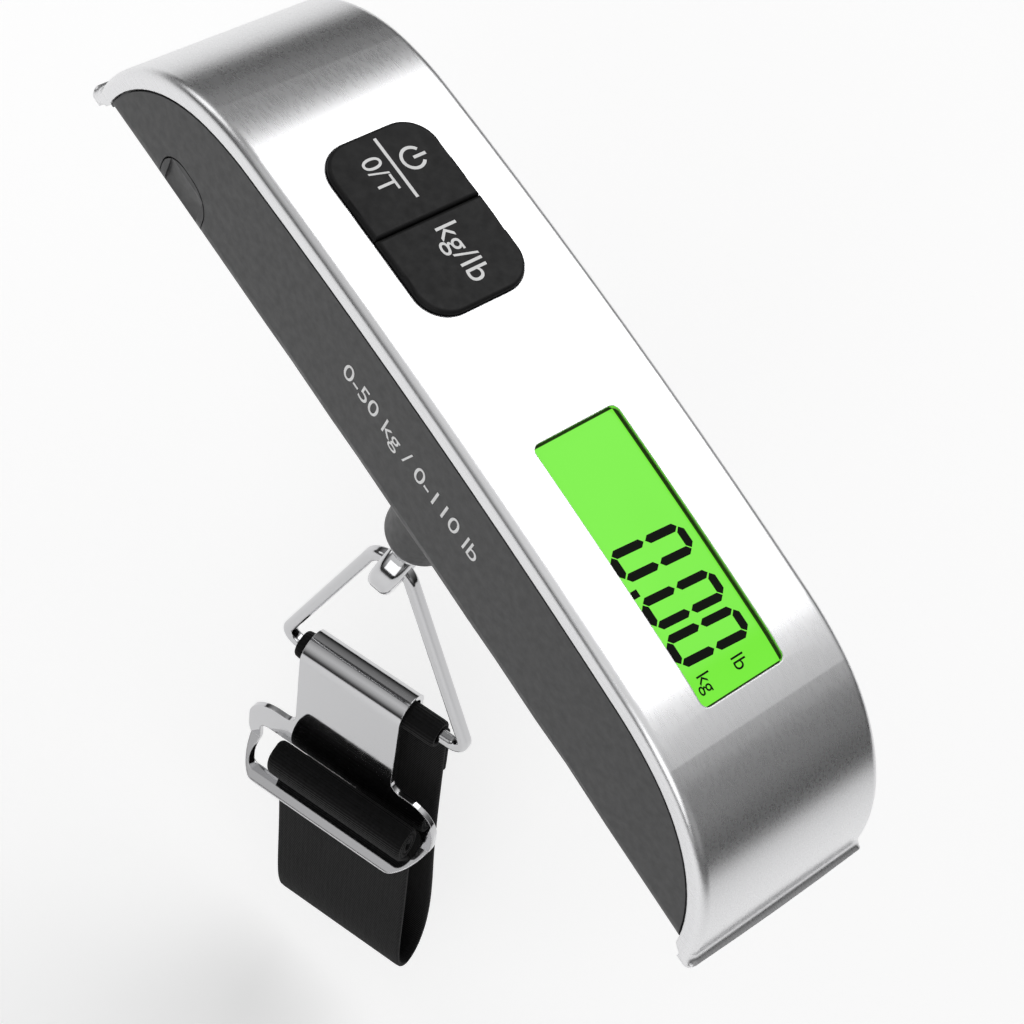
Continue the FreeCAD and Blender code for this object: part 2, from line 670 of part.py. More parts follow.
def make_display():
    skin = "-cover_skin - frame_gap"
    film = common("film_blank", window_opening("film_outline", "film_reach"), cut(
        "film_band", arch("film_top", skin, "19", "half_width"),
        arch("film_low", skin + " - film_thick", "18", "half_width + 1")))
    node("display_window", film)
    reach = "(window_right - window_left) / 2 + glass_reach"
    node("display_glass", tilted("glass", ("-(%s)" % reach, reach), "glass_half_width",
                                 ("-glass_thick", "0")))
    seal = common("seal_blank", window_opening("seal_outline", "film_reach"),
                  arch("seal_top", skin + " - film_thick - 0.02", "19", "half_width"),
                  tilted("seal_floor", ("-(%s)" % reach, reach), "half_width", ("0.02", "6")))
    node("display_seal", cut("seal", seal, window_opening("seal_hole", "film_reach - gasket_band")))
    low = "-glass_thick - stack_gap - light_thick"
    light_end = "(window_right - window_left) / 2 - 0.5"
    node("backlight_panel", tilted("backlight", ("-(%s)" % light_end, light_end), "7.4",
                                   (low, "-glass_thick - stack_gap")))
    lamps = [common("lamp", tilted("lamp_bar", ("%s + 0.05" % light_end, "%s + 1.3" % light_end),
                                   "5.5", (low, "-glass_thick - 0.2")),
                    block("lamp_side", ("0", "90"), limits, ("10", "40")))
             for limits in (("-5.5", "-2.5"), ("2.5", "5.5"))]
    node("backlight_leds", group("lamps", *lamps))
    strip = common("strip_blank",
                   tilted("strip_bar", ("-18", "18"), "half_width", ("-8", "-glass_thick - stack_gap")),
                   block("strip_side", ("0", "90"), ("7.7", "9.2"),
                         ("board_bottom + board_thick + 0.02", "30")))
    node("contact_strip", strip)


# ---------------------------------------------------------------- circuit board
def make_board():
    top = "board_bottom + board_thick"
    blank = plate("board", ("board_left", "board_right"), ("-board_half_width", "board_half_width"),
                  "board_corner", ("board_bottom", top))
    holes = [rod("board_hole", "board_screw_radius + 0.15", ("board_bottom - 1", top + " + 1"), x, y)
             for x, y in board_screw_spots()]
    node("circuit_board", cut("board_drilled", blank, *holes))
    switches = []
    for x in ("power_x", "unit_x"):
        half = "switch_size / 2"
        case = block("switch_case", ("%s - %s" % (x, half), "%s + %s" % (x, half)),
                     ("-" + half, half), (top, top + " + switch_body"))
        stem = rod("switch_stem", "switch_radius", (top + " + switch_body",
                                                    top + " + switch_body + switch_stem"), x)
        switches.append(fuse("switch", case, stem))
    node("key_switches", group("switches", *switches))
    screws = []
    for x, y in board_screw_spots():
        head = rod("board_head", "board_head_radius", ("board_bottom - board_head", "board_bottom"), x, y)
        shank = rod("board_shank", "board_screw_radius", ("board_bottom", "board_bottom + 4"), x, y)
        screws.append(with_cross("board_screw", fuse("board_screw_body", head, shank), x, y,
                                 ("board_bottom - board_head - 0.1", "board_bottom - 0.5"), 0.8))
    node("board_screws", group("board_screw_set", *screws))
    blob = doc.addObject("Part::Ellipsoid", "blob_round")
    blob.Radius1 = 1.3
    blob.Radius2 = 6
    blob.Radius3 = 6
    blob.Placement.Base = FreeCAD.Vector(25, 0, num("board_bottom"))
    below = block("blob_side", ("10", "40"), ("-10", "10"), ("0", "board_bottom"))
    node("processor_blob", common("blob", blob, below))
    parts = []
    for x, y, length, width, height in ((-2, 5, 2, 1.25, 0.6), (-2, 0, 2, 1.25, 0.6),
                                        (-2, -5, 2, 1.25, 0.6), (2, 6, 3.2, 1.6, 1.2),
                                        (2, -6, 3.2, 1.6, 1.2), (-44, 0, 1.6, 3.2, 1.6)):
        parts.append(block("chip_part", (x - length / 2, x + length / 2),
                           (y - width / 2, y + width / 2), (top, "%s + %s" % (top, height))))
    node("board_components", group("component_set", *parts))


# ---------------------------------------------------------------- load cell
def make_load_cell():
    low = "plate_bottom + plate_thick"
    high = low + " + beam_height"
    node("load_cell_plate", cut(
        "anchor", block("anchor_blank", ("33", "51"), ("-10.8", "10.8"), ("plate_bottom", low)),
        *[rod("anchor_hole", "1.25", ("plate_bottom - 1", low + " + 1"), x, y)
          for x, y in plate_screw_spots()],
        *[rod("anchor_thread", "cell_screw_radius", ("plate_bottom - 1", low + " + 1"), x)
          for x in ("cell_screw_near", "cell_screw_far")]))
    middle = low + " + beam_height / 2"
    beam = block("beam_blank", ("beam_left", "beam_right"),
                 ("-beam_half_width", "beam_half_width"), (low, high))
    tools = [cross_rod("gauge_hole", "gauge_hole", x, ("-10", "10"), middle)
             for x in ("gauge_near", "gauge_far")]
    tools.append(block("gauge_slot", ("gauge_near", "gauge_far"), ("-10", "10"),
                       (middle + " - 0.6", middle + " + 0.6")))
    tools.append(rod("eye_hole", "bush_inner", (low + " - 1", high + " + 1")))
    tools += [rod("cell_screw_hole", "cell_screw_radius + 0.1", (low + " - 1", high + " + 1"), x)
              for x in ("cell_screw_near", "cell_screw_far")]
    node("load_cell", cut("beam", beam, *tools))
    gauges = []
    for x in ("gauge_near", "gauge_far"):
        for level in ((high, high + " + 0.15"), (low + " - 0.15", low)):
            gauges.append(block("gauge", (x + " - 2.5", x + " + 2.5"), ("-2", "2"), level))
    node("strain_gauges", group("gauge_set", *gauges))
    screws = []
    for x in ("cell_screw_near", "cell_screw_far"):
        head = rod("cell_head", "cell_head_radius", (high, high + " + cell_head"), x)
        shank = rod("cell_shank", "cell_screw_radius", ("plate_bottom + 0.1", high), x)
        screws.append(with_cross("cell_screw", fuse("cell_screw_body", head, shank), x, "0",
                                 (high + " + cell_head - 1", high + " + cell_head + 1"), 1.8))
    node("load_cell_screws", group("cell_screw_set", *screws))
    anchors = []
    for x, y in plate_screw_spots():
        head = rod("plate_head", "1.9", (low, low + " + 1.1"), x, y)
        shank = rod("plate_shank", "1.1", ("1.9", low), x, y)
        anchors.append(with_cross("plate_screw", fuse("plate_screw_body", head, shank), x, y,
                                  (low + " + 0.5", low + " + 2")))
    node("plate_screws", group("plate_screw_set", *anchors))


# ---------------------------------------------------------------- neck and eye bolt
def make_neck():
    flare = turned("neck_flare", (
        ("0", "under_crown - 0.03"), ("neck_base", "under_crown - 0.03"),
        ("neck_base", "under_crown - 1.4"),
        ("neck_top", "-6.5"), ("neck_waist", "neck_end + 4.2"), ("neck_tip + 0.4", "neck_end + 1.4"),
        ("neck_tip", "neck_end"), ("0", "neck_end")))

    def neck_radius(edge):
        box = edge.BoundBox
        if box.ZLength > 1e-6:
            return 0
        if abs(box.ZMin - num("-6.5")) < 0.01:
            return 9
        if abs(box.ZMin - num("neck_end + 4.2")) < 0.01:
            return 3
        if abs(box.ZMin - num("neck_end")) < 0.01:
            return 0.45
        return 0

    soft = round_edges("neck_soft", flare, neck_radius)
    spigot = rod("neck_spigot", "spigot_outer", ("under_crown - 1", "under_crown + floor_thick"))
    solid = fuse("neck_solid", soft, spigot)
    bore = rod("neck_bore", "bush_outer", ("neck_end - 1", "under_crown + floor_thick + 1"))
    pilots = [rod("neck_thread", "0.9", ("-1.4", "under_crown + 1"), x, y)
              for x, y in neck_screw_spots()]
    node("neck_housing", cut("neck", solid, bore, *pilots))
    for name, low, high in (("lower_bush", "neck_end + 0.1", "neck_end + 9"),
                            ("upper_bush", "-6", "under_crown + floor_thick")):
        node(name, cut(name + "_ring", rod(name + "_outer", "bush_outer", (low, high)),
                       rod(name + "_hole", "bush_inner", (low + " - 1", high + " + 1"))))
    screws = []
    floor_top = "under_crown + floor_thick"
    for x, y in neck_screw_spots():
        head = rod("neck_head", "1.7", (floor_top, floor_top + " + 1"), x, y)
        shank = rod("neck_shank", "0.9", ("-1.2", floor_top), x, y)
        screws.append(with_cross("neck_screw", fuse("neck_screw_body", head, shank), x, y,
                                 (floor_top + " + 0.5", floor_top + " + 2"), 0.9))
    node("neck_screws", group("neck_screw_set", *screws))


def make_eye_bolt():
    section = rounded_rectangle(
        new_sketch("eye_section", UPRIGHT), ("-eye_width / 2", "eye_width / 2"),
        ("eye_radius - eye_thick / 2", "eye_radius + eye_thick / 2"), "eye_round")
    ring = doc.addObject("Part::Revolution", "eye_ring")
    ring.Source = section
    ring.Axis = (1, 0, 0)
    ring.Base = (0, 0, 0)
    ring.Angle = 360
    ring.Solid = True
    ring.Placement.Rotation = FreeCAD.Rotation(FreeCAD.Vector(0, 0, 1), num("yaw"))
    bind(ring, "Placement.Base.z", "eye_z")
    collar = rod("eye_collar", "collar_radius", ("neck_end - 1.5", "neck_end - 0.3"))
    shank = rod("eye_shank", "shank_radius", ("eye_z + eye_radius", "shank_top"))
    node("eye_bolt", fuse("eye", ring, collar, shank))
    beam_top = "plate_bottom + plate_thick + beam_height + washer_float"
    washer_top = beam_top + " + washer_thick"
    node("eye_washer", cut("washer", rod("washer_disc", "washer_radius", (beam_top, washer_top)),
                           rod("washer_hole", "bush_inner", ("0", "30"))))
    hexagon = doc.addObject("Part::Prism", "nut_blank")
    hexagon.Polygon = 6
    bind(hexagon, "Circumradius", "nut_flats / 2 / cos(30)")
    bind(hexagon, "Height", "nut_height")
    bind(hexagon, "Placement.Base.z", washer_top)
    node("eye_nut", cut("nut", hexagon, rod("nut_hole", "shank_radius", ("0", "30"))))


# ---------------------------------------------------------------- battery bay
def make_battery_bay():
    outer = housing_block("door_skin")
    space = door_cutter("door_body_space", "0")
    back = "-half_width + tab_thick"
    hollow = block("door_inside", ("bay_x - 40", "bay_x + 40"), (back, "40"), ("door_top", "40"))
    scoop = doc.addObject("Part::Cylinder", "thumb_scoop")
    scoop.Radius = 14
    scoop.Height = 2 * num("tab_half_length") - 2.4
    scoop.Placement = FreeCAD.Placement(
        FreeCAD.Vector(num("bay_x - tab_half_length + 1.2"), -num("half_width") - 13.55,
                       num("tab_top") - 4.6), TO_X)
    node("battery_door", cut("door", common("door_blank", outer, space), hollow, scoop))
    cell = rod("cell_can", "cell_radius", ("cell_low", "cell_low + cell_thick"), "bay_x")
    node("coin_cell", round_edges("cell_soft", cell, lambda edge: 0 if edge.BoundBox.ZLength > 1 else 0.4))
    cup = rod("holder_cup", "cell_radius + 0.4 + holder_wall", ("holder_low", "holder_top"), "bay_x")
    inside = rod("holder_inside", "cell_radius + 0.4", ("0", "holder_top - 1"), "bay_x")
    window = block("holder_window", ("bay_x - 3", "bay_x + 3"), ("-20", "0"), ("holder_top - 1.5", "20"))
    notch = block("holder_notch", ("bay_x", "bay_x + 20"), ("-2.6", "2.6"), ("0", "20"))
    node("battery_holder", cut("holder", cup, inside, window, notch))
    cell_top = "cell_low + cell_thick"
    leaf = fuse("negative_leaf",
                block("negative_tongue", ("bay_x - 2", "bay_x + 2"), ("-8", "-1"),
                      (cell_top + " + 0.02", cell_top + " + 0.02 + contact_thick")),
                block("negative_riser", ("bay_x - 2", "bay_x + 2"), ("-8.2", "-8"),
                      (cell_top + " + 0.02", "holder_top + 1.4")))
    node("battery_contact_negative", leaf)
    edge_x = "bay_x + cell_radius + 0.02"
    clip = fuse("positive_leaf",
                block("positive_wall", (edge_x, edge_x + " + contact_thick"), ("-2", "2"),
                      ("holder_low + 0.2", "holder_top + 1.4")),
                block("positive_foot", (edge_x, edge_x + " + 2.4"), ("-2", "2"),
                      ("holder_top + 1.2", "holder_top + 1.4")))
    node("battery_contact_positive", clip)


def wire(points, radius, bend):
    """Round wire along runs joined by tangent arcs."""
    spots = [FreeCAD.Vector(*point) for point in points]
    edges = []
    start = spots[0]
    for before, corner, after in zip(spots, spots[1:], spots[2:]):
        back = (before - corner).normalize()
        ahead = (after - corner).normalize()
        half = back.getAngle(ahead) / 2
        reach = bend / math.tan(half)
        first = corner + back * reach
        last = corner + ahead * reach
        inward = (back + ahead).normalize()
        middle = corner + inward * (bend / math.sin(half) - bend)
        edges.append(Part.LineSegment(start, first).toShape())
        edges.append(Part.Arc(first, middle, last).toShape())
        start = last
    edges.append(Part.LineSegment(start, spots[-1]).toShape())
    path = Part.Wire(edges)
    section = Part.Wire(Part.Circle(spots[0], spots[1] - spots[0], radius).toShape())
    return path.makePipeShell([section], True, True)


def make_wires():
    """Gauge leads and battery leads, held inside the housing all the way."""
    beam_top = num("plate_bottom + plate_thick + beam_height")
    board = num("board_bottom")
    gauge_leads = [wire([(28 + step, -5 + step, beam_top + 0.35), (31.5 + step, -5 + step, beam_top + 0.35),
                         (31.5 + step, -5 + step, board)], 0.3, 1.2) for step in (0, 1, 2, 3)]
    for name, solids in (("signal_wires", gauge_leads), ("battery_wires", battery_leads(board))):
        piece = doc.addObject("Part::Feature", name + "_set")
        piece.Shape = Part.makeCompound(solids)
        node(name, piece)


def battery_leads(board):
    bay = num("bay_x")
    level = num("holder_top") + 1.4
    leads = []
    for x, y in ((bay, -8.1), (bay + num("cell_radius") + 1.8, 0)):
        near = -45.5 if y < 0 else -38.5
        middle = (level + board) / 2
        leads.append(wire([(x, y, level), (x, y, middle), (near, y, middle), (near, y, board)], 0.4, 1.4))
    return leads


# ---------------------------------------------------------------- hanging parts
HANG = FreeCAD.Placement(
    FreeCAD.Vector(0, 0, num("pivot_z")),
    FreeCAD.Rotation(FreeCAD.Vector(0, 0, 1), num("yaw")).multiply(
        FreeCAD.Rotation(FreeCAD.Vector(0, 1, 0), -num("rock"))))


def make_triangle_ring():
    """Square wire bent to a triangle: a round apex, two legs and a straight base bar."""
    body = doc.addObject("PartDesign::Body", "ring_body")
    path = new_sketch("ring_path", UPRIGHT, body)
    lean = math.radians(num("ring_lean"))
    apex, depth, corner = num("ring_apex"), num("ring_depth"), num("ring_corner")
    foot_x = apex * math.cos(lean) + (apex * math.sin(lean) + depth) * math.tan(lean)
    turn = math.pi / 2 + lean
    reach = corner * math.tan(turn / 2)
    centre_x = foot_x - reach
    origin = FreeCAD.Vector()
    top = path.addGeometry(arc_about(origin, apex, num("ring_lean"), 180 - num("ring_lean")), False)
    base = path.addGeometry(Part.LineSegment(
        FreeCAD.Vector(-centre_x, -depth, 0), FreeCAD.Vector(centre_x, -depth, 0)), False)
    tie(path, "Coincident", top, 3, -1, 1)
    datum(path, "Radius", (top,), "ring_apex")
    for side in (1, -1):
        angles = (-90, num("ring_lean")) if side > 0 else (180 - num("ring_lean"), 270)
        arc = path.addGeometry(arc_about(
            FreeCAD.Vector(side * centre_x, corner - depth, 0), corner, *angles), False)
        datum(path, "Radius", (arc,), "ring_corner")
        low, high = (1, 2) if side > 0 else (2, 1)
        leg = path.addGeometry(Part.LineSegment(
            path.getPoint(arc, high), path.getPoint(top, low)), False)
        tie(path, "Tangent", base, 2 if side > 0 else 1, arc, low)
        tie(path, "Tangent", arc, high, leg, 1)
        tie(path, "Tangent", leg, 2, top, low)
    tie(path, "Horizontal", base)
    datum(path, "DistanceY", (-1, 1, base, 1), "-ring_depth")
    wire_section = new_sketch("ring_section", SIDEWAYS, body)
    half = "ring_wire / 2"
    rounded_rectangle(wire_section, ("-" + half, half),
                      ("-ring_depth - " + half, "-ring_depth + " + half), "ring_edge")
    doc.recompute()
    pipe = body.newObject("PartDesign::AdditivePipe", "ring_pipe")
    pipe.Profile = wire_section
    pipe.Spine = path
    pipe.Transition = "Transformed"
    body.Placement = HANG
    node("triangle_ring", body)


def hanging(name, item):
    item.Placement = HANG
    return node(name, item)


def make_hook_plate():
    """Chromed plate: a hook over the base bar, two ears, a slot and a stepped lower bar."""
    middle = num("hook_mid")
    line = new_sketch("hook_line", SIDEWAYS)
    bar = -num("ring_depth")
    crest = "-ring_depth + hook_raise"
    over = line.addGeometry(arc_about(FreeCAD.Vector(0, num(crest), 0), middle, 0, 180), False)
    datum(line, "Radius", (over,), "hook_mid")
    place_point(line, over, 3, 0, crest)
    lip_end = FreeCAD.Vector(middle, bar - num("hook_lip"), 0)
    lip = line.addGeometry(Part.LineSegment(lip_end, line.getPoint(over, 1)), False)
    bend = FreeCAD.Vector(-middle, bar - num("ear_bend"), 0)
    front = line.addGeometry(Part.LineSegment(line.getPoint(over, 2), bend), False)
    low = FreeCAD.Vector(-middle - num("hook_step"), bar - num("hook_low"), 0)
    step = line.addGeometry(Part.LineSegment(bend, low), False)
    tie(line, "Coincident", lip, 2, over, 1)
    tie(line, "Coincident", over, 2, front, 1)
    tie(line, "Coincident", front, 2, step, 1)
    place_point(line, lip, 1, "hook_mid", "-ring_depth - hook_lip")
    place_point(line, front, 2, "-hook_mid", "-ring_depth - ear_bend")
    place_point(line, step, 2, "-hook_mid - hook_step", "-ring_depth - hook_low")
    doc.recompute()
    profile = doc.addObject("Part::Offset2D", "hook_profile")
    profile.Source = line
    profile.Fill = True
    profile.Join = "Arc"
    bind(profile, "Value", "hook_thick / 2")
    strip = extrude("hook_strip", profile, "2 * ear_half_width + 4", symmetric=True)
    outline = new_sketch("hook_outline", UPRIGHT)
    drop = "-ring_depth - "
    foot = drop + "(hook_low + 0.2)"
    right = [("hook_half_width", "-ring_depth + hook_top"), ("hook_half_width", drop + "ear_top"),
             ("ear_half_width", drop + "ear_top"), ("ear_half_width", foot)]
    left = [("-(%s)" % x, z) for x, z in reversed(right)]
    polygon(outline, right + left)
    prism = extrude("hook_prism", outline, "60", symmetric=True)
    corners = (("hook_half_width", drop + "ear_top", "shoulder_round"),
               ("ear_half_width", drop + "ear_top", "ear_round"),
               ("ear_half_width", foot, "foot_round"))

    def corner(edge):
        if edge.BoundBox.YLength < 50:
            return 0
        for x, z, radius in corners:
            if (abs(abs(edge.BoundBox.XMin) - num(x)) < 0.01
                    and abs(edge.BoundBox.ZMin - num(z)) < 0.01):
                return num(radius)
        return 0

    soft = round_edges("hook_soft", prism, corner)
    slot_sketch = new_sketch("slot_outline", UPRIGHT)
    rounded_rectangle(slot_sketch, ("-slot_half_width", "slot_half_width"),
                      (drop + "slot_low", drop + "slot_top"), "slot_round")
    slot = extrude("slot_prism", slot_sketch, "60", symmetric=True)
    plate_solid = cut("hook", common("hook_blank", strip, soft), slot)
    plate_solid.Placement = HANG.multiply(FreeCAD.Placement(
        FreeCAD.Vector(num("hook_shift"), 0, 0), FreeCAD.Rotation()))
    node("hook_plate", plate_solid)


def sway(drop):
    """Sideways place of the webbing's middle at a depth below the base bar."""
    return "(web_shift + web_sway * (%s))" % drop


def band(name, y, drop):
    """Flat run of webbing between two depths below the base bar."""
    sketch = new_sketch(name + "_outline", UPRIGHT)
    corners = []
    for depth, sides in ((drop[0], (-1, 1)), (drop[1], (1, -1))):
        for side in sides:
            corners.append(("%s + %d * web_half_width" % (sway(depth), side),
                            "-ring_depth - (%s)" % depth))
    piece = extrude(name, polygon(sketch, corners), "(%s) - (%s)" % (y[1], y[0]))
    bind(piece, "Placement.Base.y", y[1])
    return piece


def lying_ring(name, inner, outer, y, drop, half):
    """Ring of webbing with its axis along X."""
    pieces = []
    for radius, reach in ((outer, half), (inner, half + " + 1")):
        piece = doc.addObject("Part::Cylinder", name + "_round")
        piece.Placement.Rotation = TO_X
        bind(piece, "Radius", radius)
        bind(piece, "Height", "2 * (%s)" % reach)
        bind(piece, "Placement.Base.x", "%s - (%s)" % (sway(drop), reach))
        bind(piece, "Placement.Base.y", y)
        bind(piece, "Placement.Base.z", "-ring_depth - (%s)" % drop)
        pieces.append(piece)
    return cut(name, *pieces)


def make_strap():
    """Webbing loop sewn round the base bar, with a sewn stopper in front of the slot."""
    back = ("web_eye", "web_eye + web_thick")
    front = ("web_eye - web_gap - web_thick", "web_eye - web_gap")
    turn_y = "web_eye - web_gap / 2"
    turn_drop = "web_low - web_gap / 2 - web_thick"
    eye = lying_ring("web_eye_ring", "web_eye", "web_eye + web_thick", "0", "0",
                     "web_half_width + 0.2")
    loop = lying_ring("web_turn_ring", "web_gap / 2", "web_gap / 2 + web_thick", turn_y, turn_drop,
                      "web_half_width")
    lower_half = block("web_turn_side", ("-30", "30"), ("-20", "20"), ("-200", "-ring_depth - (%s)" % turn_drop))
    pieces = [eye, common("web_bottom", loop, lower_half),
              band("web_back", back, ("0", turn_drop)),
              band("web_front", front, ("stopper_low - 3", turn_drop)),
              band("web_lap", ("web_eye + web_thick", "web_eye + 2 * web_thick"),
                   ("web_stitch_top", "web_stitch_low"))]
    whole = fuse("webbing_whole", *pieces)
    hanging("strap_webbing", cut("webbing", whole, stopper_blank("web_room")))
    roll = stopper_blank("stopper_blank")
    radius = num("stopper_round")

    def long_edge(edge):
        return radius if edge.BoundBox.XLength > 20 else 0

    hanging("strap_stopper", round_edges("stopper_soft", roll, long_edge))


def stopper_blank(name):
    return block(name, ("-stopper_half_width", "stopper_half_width"), ("-stopper_front", "-stopper_back"),
                 ("-ring_depth - stopper_low", "-ring_depth - stopper_top"))


# ---------------------------------------------------------------- build, check and write
def check_document():
    failed = [item.Name for item in doc.Objects if {"Invalid", "Error"} & set(item.State)]
    if failed:
        raise RuntimeError("failed objects: " + ", ".join(failed))
    for name, item in nodes.items():
        shape = item.Shape
        if shape.isNull() or not shape.isValid() or not shape.Solids:
            raise RuntimeError(name + ": no valid solid")
        print("%-26s solids %d  volume %9.2f" % (name, len(shape.Solids), shape.Volume))


def write_parts():
    os.makedirs("parts", exist_ok=True)
    for name, item in nodes.items():
        item.Shape.exportStep("parts/%s.step" % name)


make_top_cover()
make_lower_housing()
make_housing_screws()
make_inner_frame()
make_keys()
make_display()
make_board()
make_load_cell()
make_neck()
make_eye_bolt()
make_battery_bay()
make_wires()
make_triangle_ring()
make_hook_plate()
make_strap()
doc.recompute()
check_document()
write_parts()
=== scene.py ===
import bpy
import math
from mathutils import Euler, Matrix, Vector
from mathutils.bvhtree import BVHTree


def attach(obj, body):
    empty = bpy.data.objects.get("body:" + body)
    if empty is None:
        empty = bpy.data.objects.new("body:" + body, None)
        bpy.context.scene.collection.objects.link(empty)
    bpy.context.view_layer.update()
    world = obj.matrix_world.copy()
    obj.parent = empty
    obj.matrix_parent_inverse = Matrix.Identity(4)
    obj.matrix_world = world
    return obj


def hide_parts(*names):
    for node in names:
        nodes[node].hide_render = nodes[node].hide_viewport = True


MM = 0.001
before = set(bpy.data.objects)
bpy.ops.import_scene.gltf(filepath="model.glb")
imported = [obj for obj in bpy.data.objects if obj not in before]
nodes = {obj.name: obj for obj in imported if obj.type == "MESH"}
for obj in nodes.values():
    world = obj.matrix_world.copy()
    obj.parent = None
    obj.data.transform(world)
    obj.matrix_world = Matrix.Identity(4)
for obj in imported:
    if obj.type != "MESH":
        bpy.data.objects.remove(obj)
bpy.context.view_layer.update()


# ---------------------------------------------------------------- camera
CAMERA_SPOT = (0.06844, -0.16303, 0.28029)
CAMERA_ANGLES = (26.006, -19.078, 53.640)
SENSOR_WIDTH, FOCAL_LENGTH = 36, 80.98


def make_camera():
    """A camera at CAMERA_SPOT in metres, turned by CAMERA_ANGLES in degrees about X, Y, Z."""
    data = bpy.data.cameras.new("camera")
    data.sensor_width = SENSOR_WIDTH
    data.lens = FOCAL_LENGTH
    data.clip_start, data.clip_end = 0.01, 20
    camera = bpy.data.objects.new("camera", data)
    turn = Euler([math.radians(angle) for angle in CAMERA_ANGLES]).to_matrix().to_4x4()
    camera.matrix_world = Matrix.Translation(CAMERA_SPOT) @ turn
    bpy.context.scene.collection.objects.link(camera)
    bpy.context.scene.camera = camera


# ---------------------------------------------------------------- materials
class Shader:
    """A material and short ways to add nodes to it."""

    def __init__(self, name, colour, roughness, metallic=0.0):
        self.material = bpy.data.materials.new(name)
        self.material.use_nodes = True
        self.tree = self.material.node_tree
        self.bsdf = self.tree.nodes["Principled BSDF"]
        self.bsdf.inputs["Base Color"].default_value = (*colour, 1)
        self.bsdf.inputs["Roughness"].default_value = roughness
        self.bsdf.inputs["Metallic"].default_value = metallic

    def add(self, kind, **values):
        item = self.tree.nodes.new(kind)
        for key, value in values.items():
            if key in item.inputs:
                item.inputs[key].default_value = value
            else:
                setattr(item, key, value)
        return item

    def link(self, source, target):
        self.tree.links.new(source, target)

    def coordinates(self, scale, uv=False):
        place = self.add("ShaderNodeTexCoord")
        mapping = self.add("ShaderNodeMapping", Scale=scale)
        self.link(place.outputs["UV" if uv else "Object"], mapping.inputs["Vector"])
        return mapping.outputs["Vector"]

    def noise(self, scale, detail=4.0, at=(1, 1, 1)):
        texture = self.add("ShaderNodeTexNoise", Scale=scale, Detail=detail)
        self.link(self.coordinates(at), texture.inputs["Vector"])
        return texture.outputs["Fac"]

    def spread(self, source, low, high, target):
        """Maps a 0 to 1 texture to a range on a socket."""
        remap = self.add("ShaderNodeMapRange")
        remap.inputs["From Min"].default_value = 0.3
        remap.inputs["From Max"].default_value = 0.7
        remap.inputs["To Min"].default_value = low
        remap.inputs["To Max"].default_value = high
        self.link(source, remap.inputs["Value"])
        self.link(remap.outputs["Result"], self.bsdf.inputs[target])

    def tint(self, source, dark, light, target="Base Color"):
        """Maps a 0 to 1 texture to a range of colours on a socket."""
        ramp = self.add("ShaderNodeValToRGB")
        ramp.color_ramp.elements[0].position = 0.3
        ramp.color_ramp.elements[0].color = (*dark, 1)
        ramp.color_ramp.elements[1].position = 0.7
        ramp.color_ramp.elements[1].color = (*light, 1)
        self.link(source, ramp.inputs["Fac"])
        self.link(ramp.outputs["Color"], self.bsdf.inputs[target])

    def bump(self, source, depth, strength=1.0, edge=0.0):
        relief = self.add("ShaderNodeBump", Distance=depth, Strength=strength)
        self.link(source, relief.inputs["Height"])
        if edge:
            bevel = self.add("ShaderNodeBevel", Radius=edge)
            bevel.samples = 4
            self.link(bevel.outputs["Normal"], relief.inputs["Normal"])
        self.link(relief.outputs["Normal"], self.bsdf.inputs["Normal"])


def brushed_steel():
    steel = Shader("satin_steel", (0.80, 0.80, 0.81), 0.27, 1.0)
    grain = steel.noise(2600, 3, (0.01, 1, 1))
    steel.spread(grain, 0.26, 0.30, "Roughness")
    steel.tint(grain, (0.75, 0.75, 0.76), (0.79, 0.79, 0.80))
    steel.bump(grain, 0.000002, 0.2, 0.0003)
    return steel.material


def chrome():
    metal = Shader("chrome", (0.60, 0.60, 0.61), 0.06, 1.0)
    metal.spread(metal.noise(350, 4), 0.04, 0.09, "Roughness")
    metal.bump(metal.noise(120, 2), 0.00002, 0.25, 0.00025)
    return metal.material


def moulded(name, dark, light, roughness, depth=0.000012, shine=0.5):
    plastic = Shader(name, light, roughness)
    plastic.bsdf.inputs["Specular IOR Level"].default_value = shine
    plastic.tint(plastic.noise(1800, 4), dark, light)
    plastic.spread(plastic.noise(700, 3), roughness - 0.06, roughness + 0.06, "Roughness")
    plastic.bump(plastic.noise(2600, 3), depth, 0.5, 0.00015)
    return plastic.material


def webbing_cloth():
    cloth = Shader("woven_black", (0.008, 0.008, 0.009), 0.78)
    ribs = cloth.add("ShaderNodeTexWave", Scale=0.55, Distortion=0.6, wave_type="BANDS",
                     bands_direction="Y")
    cloth.link(cloth.coordinates((1, 1, 1), True), ribs.inputs["Vector"])
    warp = cloth.add("ShaderNodeTexWave", Scale=0.3, Distortion=1.0, wave_type="BANDS",
                     bands_direction="X")
    cloth.link(cloth.coordinates((1, 1, 1), True), warp.inputs["Vector"])
    both = cloth.add("ShaderNodeMath", operation="MULTIPLY_ADD")
    cloth.link(warp.outputs["Fac"], both.inputs[0])
    both.inputs[1].default_value = 0.5
    cloth.link(ribs.outputs["Fac"], both.inputs[2])
    cloth.bsdf.inputs["Specular IOR Level"].default_value = 0.15
    cloth.tint(cloth.noise(900, 5), (0.002, 0.002, 0.002), (0.005, 0.005, 0.0055))
    cloth.bump(both.outputs["Value"], 0.00012, 0.8)
    cloth.bsdf.inputs["Sheen Weight"].default_value = 0.03
    cloth.bsdf.inputs["Sheen Roughness"].default_value = 0.4
    return cloth.material


